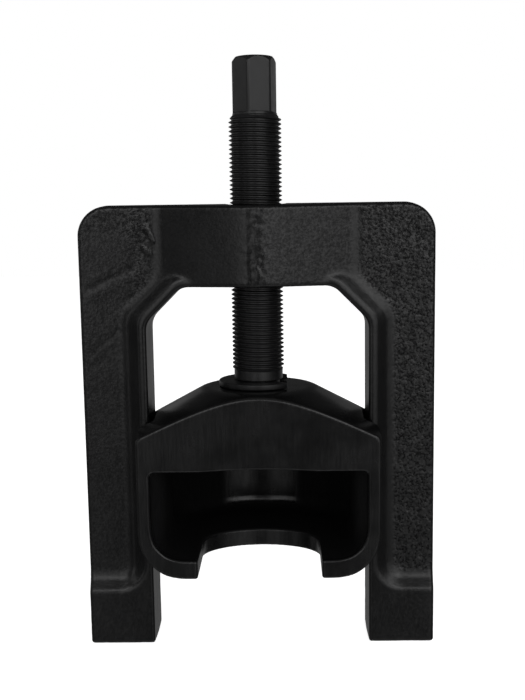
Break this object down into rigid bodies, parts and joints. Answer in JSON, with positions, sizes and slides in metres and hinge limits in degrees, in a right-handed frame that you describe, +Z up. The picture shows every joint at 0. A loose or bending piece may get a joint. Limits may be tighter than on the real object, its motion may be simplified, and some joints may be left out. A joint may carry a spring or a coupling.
{
  "type": "universal joint puller",
  "caption": "Driveshaft universal-joint puller: an n-shaped frame with a left-hand forcing screw through its crossbar that raises a slotted, bell-shaped bridge between its legs.",
  "frame": {"origin": "middle of the footprint box, level with the bottom faces of the frame's feet; the screw's axis is the upright line at x 0, y -0.01825, so 18.25 mm in front of the origin", "axes": "+Z up along the forcing screw, +X from the left leg to the right leg, -Y towards the bridge's open front"},
  "size_m": [0.173, 0.0966, 0.2871],
  "materials": {
    "frame_paint": "satin black enamel over a rough forging",
    "bridge_paint": "satin black enamel over a smooth ground face",
    "screw_steel": "black oxide, semi-matt",
    "ring_steel": "phosphated spring steel",
    "washer_steel": "hardened steel, ground"
  },
  "bodies": {
    "frame_body": {"puller_frame": "frame_paint"},
    "bridge_body": {"bridge": "bridge_paint"},
    "screw_body": {"forcing_screw": "screw_steel", "retaining_ring": "ring_steel", "thrust_washer": "washer_steel"}
  },
  "joints": [
    {"name": "bridge_travel", "type": "slide", "parent": "frame_body", "child": "bridge_body", "axis": [0, 0, 1], "range_m": [-0.042, 0.042]},
    {"name": "screw_turn", "type": "hinge", "parent": "bridge_body", "child": "screw_body", "pos_m": [0, -0.01825, 0.2], "axis": [0, 0, 1], "range_deg": [-7150, 7150]}
  ],
  "couplings": [
    {"joint": "screw_turn", "follows": "bridge_travel", "rad_per_m": -2968.4}
  ]
}
